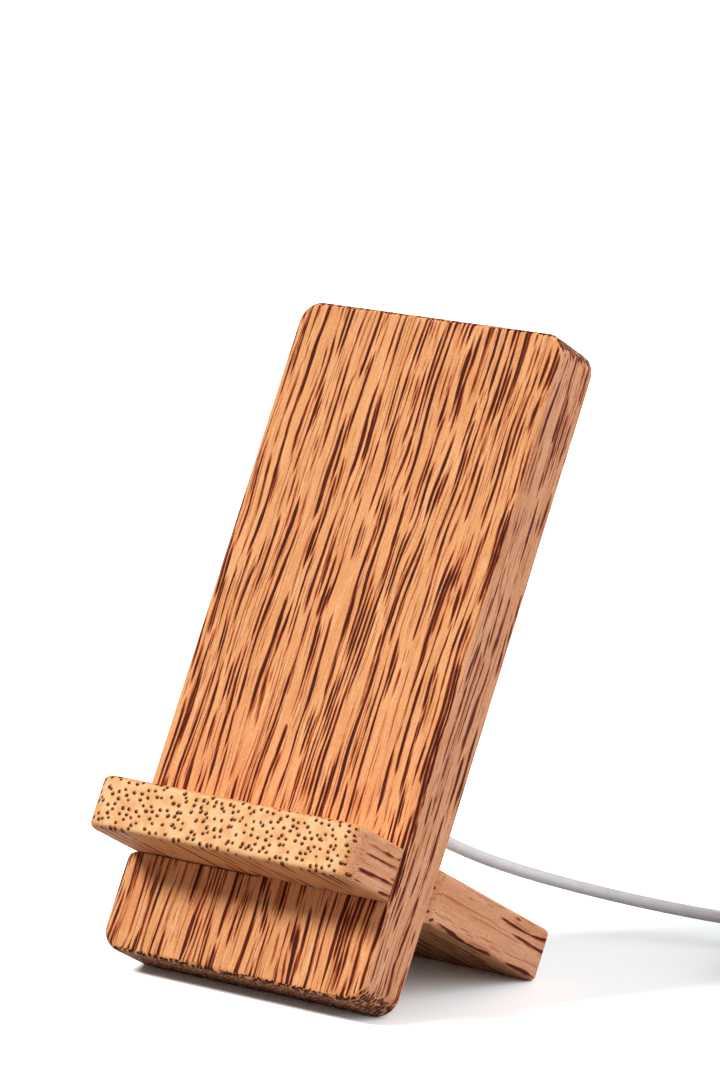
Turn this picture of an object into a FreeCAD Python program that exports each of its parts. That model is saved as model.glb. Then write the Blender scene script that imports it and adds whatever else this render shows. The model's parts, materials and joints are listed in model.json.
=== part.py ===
import FreeCAD, Part
import math
import os
from FreeCAD import Placement, Rotation, Vector

# A leaning phone stand of two interlocking palm-wood boards, with a wireless charger let into its back.
#
# The stand is drawn standing upright on its own axes: X runs to the right, Y goes from the front of the
# main board to its back, with Y = 0 on the back face, and Z goes up along the main board from its bottom.
# lean_back() then leans the finished pieces back until the main board's bottom edge and the leg's rear
# edge both touch the floor. The free end of the cable is drawn straight on that floor.
# All sizes are in millimetres.

# Both boards
WIDTH = 68.0
CORNER_RADIUS = 5.0
EDGE_ROUND = 1.3
SLOT_PLAY = 0.25          # room on each side of a board in the other one's slot
SLOT_END_PLAY = 0.5       # each slot runs this far past the middle
SLOT_CORNER_RADIUS = 0.5  # left by the cutter at a slot's blind end

# Main board, which the phone leans on
BOARD_LENGTH = 146.0
BOARD_THICKNESS = 14.0
BOARD_MOUTH_RADIUS = 3.0

# Support board: the ledge in front and the leg behind, in one piece
SUPPORT_THICKNESS = 11.5
SUPPORT_HEIGHT = 21.5     # of its underside, along the main board
LEDGE_DEPTH = 18.5        # in front of the main board
LEG_DEPTH = 47.0          # behind the main board
LEG_CORNER_RADIUS = 2.0
LEDGE_LIP_RADIUS = 1.6    # at the mouth of the slot, on the ledge's side
LEG_LIP_RADIUS = 3.0      # and on the leg's side

# Charger pocket in the back of the main board, and the cover that closes it
FRONT_WALL = 4.7
POCKET_HALF_WIDTH = 25.0
POCKET_BOTTOM = 43.0
POCKET_TOP = 129.0
POCKET_RADIUS = 10.0
COVER_MARGIN = 3.0        # the ledge all round the pocket that the cover sits on
COVER_RADIUS = 4.0
COVER_SEAT_DEPTH = 2.0
COVER_THICKNESS = 1.8
COVER_PLAY = 0.2
COVER_EDGE_BREAK = 0.3
SCREW_INSET = 3.3         # of each screw from the two sides of the cover's corner
SCREW_HEAD_RADIUS = 1.9
SCREW_HEAD_THICKNESS = 1.1
SCREW_SHANK_RADIUS = 0.9
SCREW_LENGTH = 8.0
SCREW_HOLE_PLAY = 0.1
RECESS_LENGTH = 2.4       # the driver's slot in each screw head
RECESS_WIDTH = 0.5
RECESS_DEPTH = 0.7

# Charging coil, on the pocket's floor
COIL_HEIGHT = 104.0       # of its centre, along the main board
COIL_OUTER_RADIUS = 22.0
COIL_INNER_RADIUS = 10.0
COIL_THICKNESS = 1.4
ADHESIVE_HALF_SIDE = 15.0
ADHESIVE_THICKNESS = 0.5
FERRITE_HALF_SIDE = 24.0
FERRITE_CLIP = 6.0        # cut off each of its corners
FERRITE_THICKNESS = 1.2
FOAM_HALF_SIDE = 16.0
LEAD_OFFSET = 4.0         # of each of the coil's two flat leads from the middle
LEAD_WIDTH = 1.6
LEAD_THICKNESS = 0.5
LEAD_LAP = 2.5            # of each lead on the circuit board
LEAD_STEP = (0.6, 2.6)    # where it steps up to the board's face, above the board's top edge

# Circuit board and what is soldered to it
PCB_HALF_WIDTH = 22.0
PCB_BOTTOM = 44.2
PCB_TOP = 77.0
PCB_THICKNESS = 1.0
PCB_CLIP = 4.0            # cut off each of its corners
PCB_PAD = (8.0, 22.0, 0.5)
PCB_PAD_PLACE = (14.0, 63.0)
POST_SIDE = 2.8           # of the two square posts under the cover
POST_INSET = (3.5, 4.0)   # of each post from the circuit board's side and top
CONTROLLER_PLACE = (0.0, 61.0)
CONTROLLER_SIZE = (7.0, 7.0, 1.0)
CONTROLLER_EDGE_BREAK = 0.3
CONTROLLER_LEADS = (8.6, 8.6, 0.2)
DRIVER_PLACE = (11.5, 67.5)
DRIVER_SIZE = (5.0, 6.0, 1.1)
CERAMIC_PLACES = [(-11.5, 73.5), (-7.6, 73.5), (7.6, 73.5), (11.5, 73.5)]
CERAMIC_SIZE = (3.2, 2.6, 2.2)
CAN_PLACE = (-14.0, 51.5)
CAN_RADIUS = 2.5
CAN_HEIGHT = 5.0
RESISTOR_PLACES = [(7.5, 60.0), (7.5, 62.5), (10.5, 54.0), (13.5, 60.5)]  # and the same to the left
RESISTOR_SIZE = (1.6, 0.8, 0.5)
SOCKET_HEIGHT = 47.5      # of its centre, along the main board
SOCKET_SIZE = (8.94, 3.26)
SOCKET_WALL = 0.3
SOCKET_FACE = -0.4        # of its mouth, just below the cover's outside
SOCKET_PLAY = 0.25        # all round it in the cover
SOCKET_FOOT = 0.8
TONGUE_SIZE = (6.7, 0.7)

# Cable, and the plug in the stand's socket
CABLE_DIAMETER = 2.8
CABLE_SIDES = 8           # of its section, as it is drawn here
PLUG_SIZE = (8.25, 2.4)
PLUG_WALL = 0.25
PLUG_REACH = 6.5          # of its metal shell into the socket
PLUG_GAP = 0.3            # between the cover and the plug's moulded body
PLUG_BODY = (12.2, 6.6, 17.0)
PLUG_BODY_ROUND = 2.4
PLUG_END_BREAK = 1.2      # chamfer round the cable's end of both plugs' bodies
RELIEF_END = 30.0         # of the plug's strain relief, behind the main board's back face
RELIEF_RADII = (2.7, 1.9)

# Put-away length of the cable: a tied coil on the floor, with the plug for a charger beside it
RING_CENTRE = (82.0, 81.0)
RING_TURN_RADIUS = 16.0   # at the middle of its turns
RING_HALF_WIDTH = 4.7
RING_HEIGHT = 12.0
RING_SIDES = 24           # as it is drawn here
TIE_THICKNESS = 0.8
TIE_WIDTH = 7.0
TIE_TURN = -60.0          # where the tie sits round the coil, in degrees from +X

# Plug for a charger
CHARGER_BODY = (15.6, 8.0, 20.0)
CHARGER_BODY_ROUND = 2.6
CHARGER_RELIEF = (8.0, 2.9, 1.9)
CHARGER_SHELL = (12.0, 4.5, 18.75)
CHARGER_SHELL_WALL = 0.3
CHARGER_SHELL_ROUND = 0.5
CHARGER_TONGUE = (11.2, 1.9, 17.6)
CHARGER_WINDOW = 2.2
CHARGER_WINDOW_PLACE = (3.0, 11.6)       # from the middle, and from the moulded body
CHARGER_CONTACTS = [(-3.5, 7.4), (-1.0, 6.4), (1.0, 6.4), (3.5, 7.4)]   # place across, and length
CHARGER_CONTACT_SIZE = (1.0, 0.15)
CHARGER_CONTACT_INSET = 1.0              # of their ends from the tongue's
CHARGER_X = 101.0
CHARGER_Y = 58.0          # where its strain relief ends and the cable begins

# What follows from those
TILT = math.degrees(math.atan2(SUPPORT_HEIGHT, LEG_DEPTH))
SIN, COS = math.sin(math.radians(TILT)), math.cos(math.radians(TILT))
SUPPORT_TOP = SUPPORT_HEIGHT + SUPPORT_THICKNESS
LEDGE_FRONT = -BOARD_THICKNESS - LEDGE_DEPTH
POCKET_FLOOR = FRONT_WALL - BOARD_THICKNESS
COVER_INSIDE = -COVER_SEAT_DEPTH
PCB_FACE = POCKET_FLOOR + PCB_PAD[2] + PCB_THICKNESS
COIL_FACE = POCKET_FLOOR + ADHESIVE_THICKNESS + COIL_THICKNESS
FERRITE_FACE = COIL_FACE + FERRITE_THICKNESS
RELIEF_START = PLUG_GAP + PLUG_BODY[2]
# The rounded lower edges touch the floor, and Y = 0 is midway between the foremost and the rearmost edge.
FLOOR_DROP = EDGE_ROUND * (SIN + COS - 1)
FOREMOST = (LEDGE_FRONT + EDGE_ROUND) * COS + (SUPPORT_HEIGHT + EDGE_ROUND) * SIN - EDGE_ROUND
REARMOST = (BOARD_LENGTH - EDGE_ROUND) * SIN - EDGE_ROUND * COS + EDGE_ROUND
MIDDLE = (FOREMOST + REARMOST) / 2
LEANING = Placement(Vector(0, -MIDDLE, -FLOOR_DROP), Rotation(Vector(1, 0, 0), -TILT))


def lean_back(shape):
    """The shape leaned back on its two lower edges, where it stands in the part's own frame."""
    leaned = shape.copy()
    leaned.Placement = LEANING.multiply(leaned.Placement)
    return leaned


def rounded_prism(corners, depth):
    """The outline through corners, each a point and the radius that rounds it or 0, extruded by depth."""
    points = [Vector(*point) for point, _ in corners]
    stops = []
    for i, (_, radius) in enumerate(corners):
        before = (points[i - 1] - points[i]).normalize()
        after = (points[(i + 1) % len(points)] - points[i]).normalize()
        half = before.getAngle(after) / 2
        start = points[i] + before * (radius / math.tan(half))
        end = points[i] + after * (radius / math.tan(half))
        bisector = (before + after).normalize()
        middle = points[i] + bisector * (radius / math.sin(half) - radius)
        stops.append((start, middle, end))
    edges = []
    for i, (start, middle, end) in enumerate(stops):
        edges.append(Part.makeLine(stops[i - 1][2], start))
        if corners[i][1]:
            edges.append(Part.Arc(start, middle, end).toShape())
    return Part.Face(Part.Wire(edges)).extrude(Vector(*depth))


def rounded_block(half_width, low, high, radius, front, back):
    """A plate on the board's face, from front to back in Y, with rounded corners."""
    corners = [((-half_width, front, low), radius), ((half_width, front, low), radius),
               ((half_width, front, high), radius), ((-half_width, front, high), radius)]
    return rounded_prism(corners, (0, back - front, 0))


def clipped_block(half_width, low, high, clip, front, back):
    """A plate on the board's face, from front to back in Y, with its corners cut off straight."""
    x = half_width
    outline = [(clip - x, low), (x - clip, low), (x, low + clip), (x, high - clip), (x - clip, high),
               (clip - x, high), (-x, high - clip), (-x, low + clip)]
    points = [Vector(across, front, up) for across, up in outline]
    return Part.Face(Part.makePolygon(points + points[:1])).extrude(Vector(0, back - front, 0))


def box(x, y, z):
    """A box from three (low, high) pairs."""
    return Part.makeBox(x[1] - x[0], y[1] - y[0], z[1] - z[0], Vector(x[0], y[0], z[0]))


def chip(place, size):
    """A rectangular component standing on the circuit board: its centre, and its size with height last."""
    x, z = place
    wide, long = size[0] / 2, size[1] / 2
    return box((x - wide, x + wide), (PCB_FACE, PCB_FACE + size[2]), (z - long, z + long))


def stadium(width, height, centre, y_start, length):
    """A bar along Y with fully rounded ends to its section, as a connector shell has."""
    x, z = width / 2, height / 2
    flat = x - z
    start = Vector(centre[0], y_start, centre[1])
    top = Part.makeLine(Vector(-flat, 0, z), Vector(flat, 0, z))
    right = Part.Arc(Vector(flat, 0, z), Vector(x, 0, 0), Vector(flat, 0, -z)).toShape()
    bottom = Part.makeLine(Vector(flat, 0, -z), Vector(-flat, 0, -z))
    left = Part.Arc(Vector(-flat, 0, -z), Vector(-x, 0, 0), Vector(-flat, 0, z)).toShape()
    bar = Part.Face(Part.Wire([top, right, bottom, left])).extrude(Vector(0, length, 0))
    bar.translate(start)
    return bar


def edges_in_plane(shape, normal, offset):
    """The edges of shape that lie in the plane at that offset along the unit normal."""
    return [e for e in shape.Edges
            if all(abs(v.Point.dot(normal) - offset) < 1e-6 for v in e.Vertexes)
            and abs(e.valueAt((e.FirstParameter + e.LastParameter) / 2).dot(normal) - offset) < 1e-6]


def edges_along(shape, direction):
    """The straight edges of shape that run along direction."""
    return [e for e in shape.Edges if e.Curve.TypeId == "Part::GeomLine"
            and abs(abs(e.Curve.Direction.dot(direction)) - 1) < 1e-6]


def screw_places():
    """The cover's four screws, as (x, z)."""
    x = POCKET_HALF_WIDTH + COVER_MARGIN - SCREW_INSET
    low = POCKET_BOTTOM - COVER_MARGIN + SCREW_INSET
    high = POCKET_TOP + COVER_MARGIN - SCREW_INSET
    return [(side * x, z) for side in (-1, 1) for z in (low, high)]


def post_places():
    """The cover's two posts that hold the circuit board down, as (x, z)."""
    return [(side * (PCB_HALF_WIDTH - POST_INSET[0]), PCB_TOP - POST_INSET[1]) for side in (-1, 1)]


# The two boards


def slot_cutter(end, low, high):
    """What a half-lap slot takes away, from the left side in to X = end and right through along Y. low and
    high each give the height of one side of the slot and the radius that rounds its mouth."""
    mouth = -WIDTH / 2
    outside, reach = 2 * mouth, BOARD_LENGTH / 2
    top, bottom = high[0] + 2 * high[1], low[0] - 2 * low[1]
    corners = [((outside, -reach, top), 0), ((mouth, -reach, top), 0),
               ((mouth, -reach, high[0]), high[1]), ((end, -reach, high[0]), SLOT_CORNER_RADIUS),
               ((end, -reach, low[0]), SLOT_CORNER_RADIUS), ((mouth, -reach, low[0]), low[1]),
               ((mouth, -reach, bottom), 0), ((outside, -reach, bottom), 0)]
    return rounded_prism(corners, (0, 2 * reach, 0))


def main_board():
    """The leaning board, with its half-lap slot open to the left and the charger's pocket in its back."""
    half = WIDTH / 2
    front = -BOARD_THICKNESS
    corners = [((-half, front, 0), CORNER_RADIUS), ((half, front, 0), CORNER_RADIUS),
               ((half, front, BOARD_LENGTH), CORNER_RADIUS), ((-half, front, BOARD_LENGTH), CORNER_RADIUS)]
    blank = rounded_prism(corners, (0, BOARD_THICKNESS, 0))
    normal = Vector(0, 1, 0)
    blank = blank.makeFillet(EDGE_ROUND, edges_in_plane(blank, normal, front)
                             + edges_in_plane(blank, normal, 0))
    slot = slot_cutter(SLOT_END_PLAY, (SUPPORT_HEIGHT - SLOT_PLAY, BOARD_MOUTH_RADIUS),
                       (SUPPORT_TOP + SLOT_PLAY, BOARD_MOUTH_RADIUS))
    seat = rounded_block(POCKET_HALF_WIDTH + COVER_MARGIN, POCKET_BOTTOM - COVER_MARGIN,
                         POCKET_TOP + COVER_MARGIN, COVER_RADIUS, COVER_INSIDE, 1)
    pocket = rounded_block(POCKET_HALF_WIDTH, POCKET_BOTTOM, POCKET_TOP, POCKET_RADIUS, POCKET_FLOOR, 1)
    holes = [Part.makeCylinder(SCREW_SHANK_RADIUS + SCREW_HOLE_PLAY, SCREW_LENGTH + 1,
                               Vector(x, 0, z), Vector(0, -1, 0)) for x, z in screw_places()]
    return blank.cut([slot, seat, pocket] + holes)


def support_board():
    """The board laid through the main one: ledge in front, leg behind, half-lap slot open to the right."""
    half = WIDTH / 2
    z = SUPPORT_HEIGHT
    corners = [((-half, LEDGE_FRONT, z), CORNER_RADIUS), ((half, LEDGE_FRONT, z), CORNER_RADIUS),
               ((half, LEG_DEPTH, z), LEG_CORNER_RADIUS), ((-half, LEG_DEPTH, z), LEG_CORNER_RADIUS)]
    blank = rounded_prism(corners, (0, 0, SUPPORT_THICKNESS))
    normal = Vector(0, 0, 1)
    blank = blank.makeFillet(EDGE_ROUND, edges_in_plane(blank, normal, SUPPORT_HEIGHT)
                             + edges_in_plane(blank, normal, SUPPORT_TOP))
    # The cutter opens to the left and cuts along Y: turned over its own Z it opens to the right, then it is
    # laid down so that its height runs along the board's depth.
    slot = slot_cutter(SLOT_END_PLAY, (-SLOT_PLAY, LEG_LIP_RADIUS),
                       (BOARD_THICKNESS + SLOT_PLAY, LEDGE_LIP_RADIUS))
    slot.rotate(Vector(0, 0, 0), Vector(0, 0, 1), 180)
    slot.rotate(Vector(0, 0, 0), Vector(1, 0, 0), 90)
    return blank.cut(slot)


# The cover of the charger's pocket


def back_cover():
    """The plastic plate over the pocket, with the socket's opening and two posts on the circuit board."""
    outside = COVER_INSIDE + COVER_THICKNESS
    plate = rounded_block(POCKET_HALF_WIDTH + COVER_MARGIN - COVER_PLAY,
                          POCKET_BOTTOM - COVER_MARGIN + COVER_PLAY,
                          POCKET_TOP + COVER_MARGIN - COVER_PLAY,
                          COVER_RADIUS - COVER_PLAY, COVER_INSIDE, outside)
    plate = plate.makeChamfer(COVER_EDGE_BREAK, edges_in_plane(plate, Vector(0, 1, 0), outside))
    posts = [chip(place, (POST_SIDE, POST_SIDE, COVER_INSIDE - PCB_FACE)) for place in post_places()]
    cuts = [screw_body(x, z, SCREW_HOLE_PLAY) for x, z in screw_places()]
    width, height = [side + 2 * SOCKET_PLAY for side in SOCKET_SIZE]
    cuts.append(stadium(width, height, (0, SOCKET_HEIGHT), COVER_INSIDE - 1, COVER_THICKNESS + 2))
    return plate.fuse(posts).removeSplitter().cut(cuts)


def screw_body(x, z, room):
    """A cheese-head screw without its recess, or with room all round it, the hole that it goes in."""
    top = COVER_INSIDE + COVER_THICKNESS
    into_wood = Vector(0, -1, 0)
    shank = Part.makeCylinder(SCREW_SHANK_RADIUS + room, SCREW_LENGTH, Vector(x, top, z), into_wood)
    head = Part.makeCylinder(SCREW_HEAD_RADIUS + room, SCREW_HEAD_THICKNESS, Vector(x, top, z), into_wood)
    return shank.fuse(head).removeSplitter()


def cover_screws():
    """The four small screws, sunk in the cover, that hold it to the wood."""
    top = COVER_INSIDE + COVER_THICKNESS
    arm, slit = RECESS_LENGTH / 2, RECESS_WIDTH / 2
    screws = []
    for x, z in screw_places():
        recess = box((x - arm, x + arm), (top - RECESS_DEPTH, top + 1), (z - slit, z + slit))
        screws.append(screw_body(x, z, 0).cut(recess))
    return Part.makeCompound(screws)


# The charger inside


def coil_adhesive():
    """The double-sided sheet that sticks the coil to the wood."""
    side = ADHESIVE_HALF_SIDE
    return box((-side, side), (POCKET_FLOOR, POCKET_FLOOR + ADHESIVE_THICKNESS),
               (COIL_HEIGHT - side, COIL_HEIGHT + side))


def charging_coil():
    """The flat copper coil, wound as one layer and drawn as the ring that its turns fill."""
    centre = Vector(0, POCKET_FLOOR + ADHESIVE_THICKNESS, COIL_HEIGHT)
    disc, hole = [Part.makeCylinder(radius, COIL_THICKNESS, centre, Vector(0, 1, 0))
                  for radius in (COIL_OUTER_RADIUS, COIL_INNER_RADIUS)]
    return disc.cut(hole)


def coil_leads():
    """The coil's two flat ends, brought down and over the top edge of the circuit board to their pads."""
    low = POCKET_FLOOR + ADHESIVE_THICKNESS
    start = COIL_HEIGHT - COIL_OUTER_RADIUS
    under = [(low, start), (low, PCB_TOP + LEAD_STEP[1]), (PCB_FACE, PCB_TOP + LEAD_STEP[0]),
             (PCB_FACE, PCB_TOP - LEAD_LAP)]
    rise = LEAD_THICKNESS * (LEAD_STEP[1] - LEAD_STEP[0]) / (PCB_FACE - low) / 2
    over = [(y + LEAD_THICKNESS, z + (rise if PCB_TOP < z < start else 0)) for y, z in reversed(under)]
    profile = under + over
    leads = []
    for x in (-LEAD_OFFSET, LEAD_OFFSET):
        points = [Vector(x - LEAD_WIDTH / 2, y, z) for y, z in profile]
        leads.append(Part.Face(Part.makePolygon(points + points[:1])).extrude(Vector(LEAD_WIDTH, 0, 0)))
    return Part.makeCompound(leads)


def ferrite_sheet():
    """The dark shield behind the coil."""
    return clipped_block(FERRITE_HALF_SIDE, COIL_HEIGHT - FERRITE_HALF_SIDE, COIL_HEIGHT + FERRITE_HALF_SIDE,
                         FERRITE_CLIP, COIL_FACE, FERRITE_FACE)


def foam_pad():
    """The foam block that the cover presses on, to keep the coil against the wood."""
    side = FOAM_HALF_SIDE
    return box((-side, side), (FERRITE_FACE, COVER_INSIDE), (COIL_HEIGHT - side, COIL_HEIGHT + side))


def circuit_board():
    """The board that carries the charger's parts."""
    return clipped_block(PCB_HALF_WIDTH, PCB_BOTTOM, PCB_TOP, PCB_CLIP, PCB_FACE - PCB_THICKNESS, PCB_FACE)


def circuit_board_pads():
    """Two strips of foam tape under the circuit board."""
    pads = [chip((side * PCB_PAD_PLACE[0], PCB_PAD_PLACE[1]), PCB_PAD) for side in (-1, 1)]
    for pad in pads:
        pad.translate(Vector(0, POCKET_FLOOR - PCB_FACE, 0))
    return Part.makeCompound(pads)


def controller_chip():
    """The square control chip, with its four rows of leads as a thin skirt."""
    body = chip(CONTROLLER_PLACE, CONTROLLER_SIZE)
    top = edges_in_plane(body, Vector(0, 1, 0), PCB_FACE + CONTROLLER_SIZE[2])
    body = body.makeChamfer(CONTROLLER_EDGE_BREAK, top)
    return body.fuse(chip(CONTROLLER_PLACE, CONTROLLER_LEADS)).removeSplitter()


def driver_chips():
    """The two power transistors that drive the coil."""
    x, z = DRIVER_PLACE
    return Part.makeCompound([chip((side * x, z), DRIVER_SIZE) for side in (-1, 1)])


def resonance_capacitors():
    """The row of ceramic capacitors tuned with the coil."""
    return Part.makeCompound([chip(place, CERAMIC_SIZE) for place in CERAMIC_PLACES])


def input_capacitor():
    """The round can that smooths the supply."""
    x, z = CAN_PLACE
    return Part.makeCylinder(CAN_RADIUS, CAN_HEIGHT, Vector(x, PCB_FACE, z), Vector(0, 1, 0))


def resistors():
    """The small resistors round the control chip."""
    places = [(side * x, z) for side in (-1, 1) for x, z in RESISTOR_PLACES]
    return Part.makeCompound([chip(place, RESISTOR_SIZE) for place in places])


def socket_shell():
    """The metal shell of the socket, standing on the circuit board and open at the cover."""
    length = SOCKET_FACE - PCB_FACE
    centre = (0, SOCKET_HEIGHT)
    outer = stadium(SOCKET_SIZE[0], SOCKET_SIZE[1], centre, PCB_FACE, length)
    inner = stadium(SOCKET_SIZE[0] - 2 * SOCKET_WALL, SOCKET_SIZE[1] - 2 * SOCKET_WALL, centre, PCB_FACE - 1,
                    length + 2)
    return outer.cut(inner)


def socket_tongue():
    """The insulator that closes the socket's foot, with the tongue that carries its contacts."""
    foot = stadium(SOCKET_SIZE[0] - 2 * SOCKET_WALL, SOCKET_SIZE[1] - 2 * SOCKET_WALL, (0, SOCKET_HEIGHT),
                   PCB_FACE, SOCKET_FOOT)
    x, z = TONGUE_SIZE[0] / 2, TONGUE_SIZE[1] / 2
    tongue = box((-x, x), (PCB_FACE, SOCKET_FACE - 0.8), (SOCKET_HEIGHT - z, SOCKET_HEIGHT + z))
    return foot.fuse(tongue).removeSplitter()


# The cable


def polygon_about(centre, heading, radius, sides=CABLE_SIDES):
    """A regular polygon across heading, of the same area as a circle of that radius. Flat sides keep the
    cable's solids simple."""
    ahead = Vector(heading).normalize()
    side = ahead.cross(Vector(0, 0, 1) if abs(ahead.z) < 0.9 else Vector(0, 1, 0)).normalize()
    up = side.cross(ahead)
    step = 2 * math.pi / sides
    reach = radius * math.sqrt(step / math.sin(step))
    turns = [(k + 0.5) * step for k in range(sides)]
    corners = [centre + side * (reach * math.cos(turn)) + up * (reach * math.sin(turn)) for turn in turns]
    return Part.makePolygon(corners + corners[:1])


def tube(route):
    """The cable along straight runs that tangent arcs join, each arc as large as its runs allow."""
    points = [Vector(*p) for p in route]
    edges = []
    reached = points[0]
    for i in range(1, len(points) - 1):
        back, ahead = points[i - 1] - points[i], points[i + 1] - points[i]
        half_turn = (math.pi - back.getAngle(ahead)) / 2
        tangent = 0.45 * min(back.Length, ahead.Length)
        radius = tangent / math.tan(half_turn)
        start = points[i] + Vector(back).normalize() * tangent
        end = points[i] + Vector(ahead).normalize() * tangent
        bisector = (Vector(back).normalize() + Vector(ahead).normalize()).normalize()
        middle = points[i] + bisector * (radius / math.cos(half_turn) - radius)
        edges += [Part.makeLine(reached, start), Part.Arc(start, middle, end).toShape()]
        reached = end
        print("  bend radius %.1f mm, turn %.1f degrees" % (radius, 2 * math.degrees(half_turn)))
    edges.append(Part.makeLine(reached, points[-1]))
    path = Part.Wire(edges)
    section = polygon_about(points[0], points[1] - points[0], CABLE_DIAMETER / 2)
    made = path.makePipeShell([section], True, False)
    expected = math.pi * CABLE_DIAMETER ** 2 / 4 * path.Length
    print("tube of %.1f mm: volume is %.4f of section times length" % (path.Length, made.Volume / expected))
    return made


def tapered_relief(radii, length):
    """A smooth tapered strain relief along +Y from the origin, with as many sides as the cable's section."""
    ends = [polygon_about(Vector(0, y, 0), Vector(0, 1, 0), radius) for radius, y in zip(radii, (0, length))]
    return Part.makeLoft(ends, True, True)


def moulded_body(size, corner, front):
    """A plug's moulded body along +Y from front, centred on the Y axis, with rounded sides."""
    x, z, length = size[0] / 2, size[1] / 2, size[2]
    body = box((-x, x), (front, front + length), (-z, z))
    body = body.makeFillet(corner, edges_along(body, Vector(0, 1, 0)))
    return body.makeChamfer(PLUG_END_BREAK, edges_in_plane(body, Vector(0, 1, 0), front + length))


def device_plug_shell():
    """The metal tip that goes into the stand's socket."""
    centre = (0, SOCKET_HEIGHT)
    outer = stadium(PLUG_SIZE[0], PLUG_SIZE[1], centre, PLUG_GAP - PLUG_REACH, PLUG_REACH)
    inner = stadium(PLUG_SIZE[0] - 2 * PLUG_WALL, PLUG_SIZE[1] - 2 * PLUG_WALL, centre,
                    PLUG_GAP - PLUG_REACH - 1, PLUG_REACH)
    return outer.cut(inner)


def device_plug_body():
    """The moulded grip of the plug in the stand."""
    body = moulded_body(PLUG_BODY, PLUG_BODY_ROUND, PLUG_GAP)
    body.translate(Vector(0, 0, SOCKET_HEIGHT))
    return body


def device_plug_relief():
    """The strain relief behind that grip."""
    relief = tapered_relief(RELIEF_RADII, RELIEF_END - RELIEF_START)
    relief.translate(Vector(0, RELIEF_START, SOCKET_HEIGHT))
    return relief


def lead_route():
    """The cable from the plug: straight out behind the board, bending right as it comes down to the floor."""
    exit_point = LEANING.multVec(Vector(0, RELIEF_END, SOCKET_HEIGHT))
    ahead = LEANING.multVec(Vector(0, RELIEF_END + 16, SOCKET_HEIGHT))
    by_hand = [(3.8, 58.1, 16.6), (15.0, 76.1, 10.4), (33.0, 89.6, 6.5), (54.7, 97.4, 5.5),
               (71.0, 100.0, 1.5), (82.0, 100.0, 1.5)]
    return [tuple(exit_point), tuple(ahead)] + by_hand


def tail_route():
    """The cable from the top of its coil down to the charger's plug."""
    return [(101.0, 81.0, 9.8), (101.0, 75.0, 8.8), (101.0, 68.0, 5.6), (101.0, 62.5, 4.0),
            (101.0, 58.0, 4.0)]


def tie_solid(grow, low, high):
    """A straight block that crosses the coil's section where the tie sits."""
    reach = RING_HALF_WIDTH + grow
    block = box((RING_TURN_RADIUS - reach, RING_TURN_RADIUS + reach), (-TIE_WIDTH / 2, TIE_WIDTH / 2),
                (low, high))
    block.rotate(Vector(0, 0, 0), Vector(0, 0, 1), TIE_TURN)
    block.translate(Vector(RING_CENTRE[0], RING_CENTRE[1], 0))
    return block


def cable_coil():
    """The put-away turns of the cable as one ring, notched below where the tie passes under it."""
    up = Vector(0, 0, 1)
    outlines = [polygon_about(Vector(*RING_CENTRE, 0), up, RING_TURN_RADIUS + reach, RING_SIDES)
                for reach in (RING_HALF_WIDTH, -RING_HALF_WIDTH)]
    outer, inner = [Part.Face(outline).extrude(up * RING_HEIGHT) for outline in outlines]
    return outer.cut([inner, cable_tie()])


def cable_tie():
    """The strap round the coil's turns."""
    outside = tie_solid(TIE_THICKNESS, 0, RING_HEIGHT + TIE_THICKNESS)
    return outside.cut(tie_solid(0, TIE_THICKNESS, RING_HEIGHT))


# The plug for a charger, which lies on the floor pointing to the front


def lay_charger_plug(shape):
    """Turns a piece drawn along +Y from the cable's end so that it points to the front, on the floor."""
    laid = shape.copy()
    laying = Placement(Vector(CHARGER_X, CHARGER_Y, CHARGER_BODY[1] / 2), Rotation(Vector(0, 0, 1), 180))
    laid.Placement = laying.multiply(laid.Placement)
    return laid


def charger_plug_relief():
    """The strain relief of the charger's plug, narrow where the cable enters."""
    length, wide, thin = CHARGER_RELIEF
    return tapered_relief((thin, wide), length)


def charger_plug_body():
    """The moulded grip of the charger's plug."""
    body = moulded_body(CHARGER_BODY, CHARGER_BODY_ROUND, 0)
    body.rotate(Vector(0, 0, 0), Vector(0, 0, 1), 180)
    body.translate(Vector(0, CHARGER_RELIEF[0] + CHARGER_BODY[2], 0))
    return body


def charger_plug_shell():
    """The flat metal shell, with its two latch windows in each face."""
    x, z, length = CHARGER_SHELL[0] / 2, CHARGER_SHELL[1] / 2, CHARGER_SHELL[2]
    start = CHARGER_RELIEF[0] + CHARGER_BODY[2]
    wall = CHARGER_SHELL_WALL
    shell = box((-x, x), (start, start + length), (-z, z))
    shell = shell.makeFillet(CHARGER_SHELL_ROUND, edges_along(shell, Vector(0, 1, 0)))
    cuts = [box((wall - x, x - wall), (start, start + length + 1), (wall - z, z - wall))]
    half = CHARGER_WINDOW / 2
    along = start + CHARGER_WINDOW_PLACE[1]
    for side in (-1, 1):
        across = side * CHARGER_WINDOW_PLACE[0]
        cuts.append(box((across - half, across + half), (along - half, along + half), (-z - 1, z + 1)))
    return shell.cut(cuts)


def charger_plug_tongue():
    """The insulator inside the shell, against its upper face."""
    x, depth, length = CHARGER_TONGUE[0] / 2, CHARGER_TONGUE[1], CHARGER_TONGUE[2]
    start = CHARGER_RELIEF[0] + CHARGER_BODY[2]
    top = CHARGER_SHELL[1] / 2 - CHARGER_SHELL_WALL
    return box((-x, x), (start, start + length), (top - depth, top))


def charger_plug_contacts():
    """The four gold contacts on the insulator's lower side."""
    end = CHARGER_RELIEF[0] + CHARGER_BODY[2] + CHARGER_TONGUE[2] - CHARGER_CONTACT_INSET
    face = CHARGER_SHELL[1] / 2 - CHARGER_SHELL_WALL - CHARGER_TONGUE[1]
    half, depth = CHARGER_CONTACT_SIZE[0] / 2, (face - CHARGER_CONTACT_SIZE[1], face)
    return Part.makeCompound([box((x - half, x + half), (end - length, end), depth)
                              for x, length in CHARGER_CONTACTS])


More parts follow.
